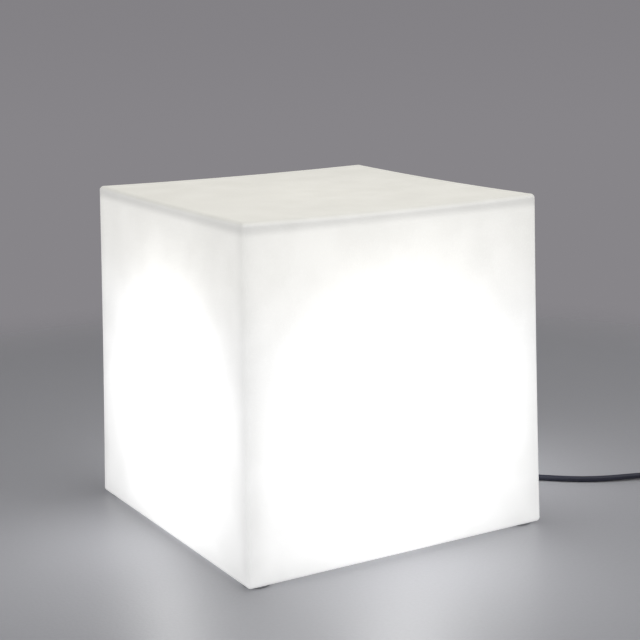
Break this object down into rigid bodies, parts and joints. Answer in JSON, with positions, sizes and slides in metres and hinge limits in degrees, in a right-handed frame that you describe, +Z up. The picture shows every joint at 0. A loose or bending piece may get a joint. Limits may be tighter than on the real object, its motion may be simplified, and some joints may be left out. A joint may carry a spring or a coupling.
{
  "type": "led cube light",
  "caption": "Lit outdoor cube of milky plastic on rubber feet, with a screw-in LED bulb on a base unit closed from below, a rubber cord and a round two-pin plug.",
  "frame": {"origin": "on the floor, under the middle of the cube", "axes": "+Z up; +X towards the side under which the cord leaves; -Y is the wide lit face in the picture"},
  "size_m": [0.7957, 0.4882, 0.3995],
  "materials": {
    "opal_shell": "matte",
    "foot_rubber": "matte",
    "base_plastic": "matte",
    "vent_plastic": "matte",
    "black_rubber": "matte",
    "steel_screw": "satin",
    "bracket_steel": "satin",
    "zinc_steel": "satin",
    "holder_plastic": "satin",
    "core_ceramic": "matte",
    "contact_metal": "satin",
    "contact_brass": "satin",
    "block_plastic": "satin",
    "lead_brown": "satin",
    "lead_blue": "satin",
    "cord_rubber": "matte",
    "gland_plastic": "satin",
    "tie_fabric": "matte",
    "plug_rubber": "matte",
    "pin_nickel": "polished",
    "cap_glass": "gloss",
    "housing_plastic": "satin",
    "board_white": "satin",
    "led_phosphor": "satin",
    "opal_globe": "satin"
  },
  "bodies": {
    "base_unit": {"base_gasket": "black_rubber", "base_plate": "base_plastic", "base_screws": "steel_screw", "bracket_screws": "steel_screw", "centre_contact": "contact_brass", "clamp_screws": "steel_screw", "clamped_cord": "cord_rubber", "coil_tie": "tie_fabric", "contact_shell": "contact_metal", "cord": "cord_rubber", "cord_clamp": "base_plastic", "cord_coil": "cord_rubber", "core_live": "lead_brown", "core_neutral": "lead_blue", "gland_body": "gland_plastic", "gland_locknut": "gland_plastic", "gland_nut": "gland_plastic", "gland_oring": "black_rubber", "gland_seal": "black_rubber", "lampholder_bracket": "bracket_steel", "lampholder_cap": "holder_plastic", "lampholder_core": "core_ceramic", "lampholder_nipple": "zinc_steel", "lampholder_sleeve": "holder_plastic", "lead_live": "lead_brown", "lead_neutral": "lead_blue", "nipple_nut": "zinc_steel", "plug_body": "plug_rubber", "plug_boot": "plug_rubber", "plug_pins": "pin_nickel", "strain_relief": "cord_rubber", "terminal_block": "block_plastic", "terminal_block_screw": "steel_screw", "terminal_screws": "contact_brass", "vent_plug": "vent_plastic"},
    "shell": {"diffuser_shell": "opal_shell", "foot_pads": "foot_rubber", "threaded_inserts": "contact_brass"},
    "bulb": {"bulb_cap": "contact_metal", "bulb_cap_insulator": "cap_glass", "bulb_centre_contact": "contact_metal", "bulb_globe": "opal_globe", "bulb_housing": "housing_plastic", "bulb_led_board": "board_white", "bulb_led_chips": "led_phosphor"}
  },
  "joints": [
    {"name": "shell_lift", "type": "slide", "parent": "base_unit", "child": "shell", "axis": [0, 0, 1], "range_m": [0, 0.25]},
    {"name": "bulb_turn", "type": "hinge", "parent": "base_unit", "child": "bulb", "pos_m": [0, 0, 0.104], "axis": [0, 0, 1], "range_deg": [0, 1800]}
  ]
}
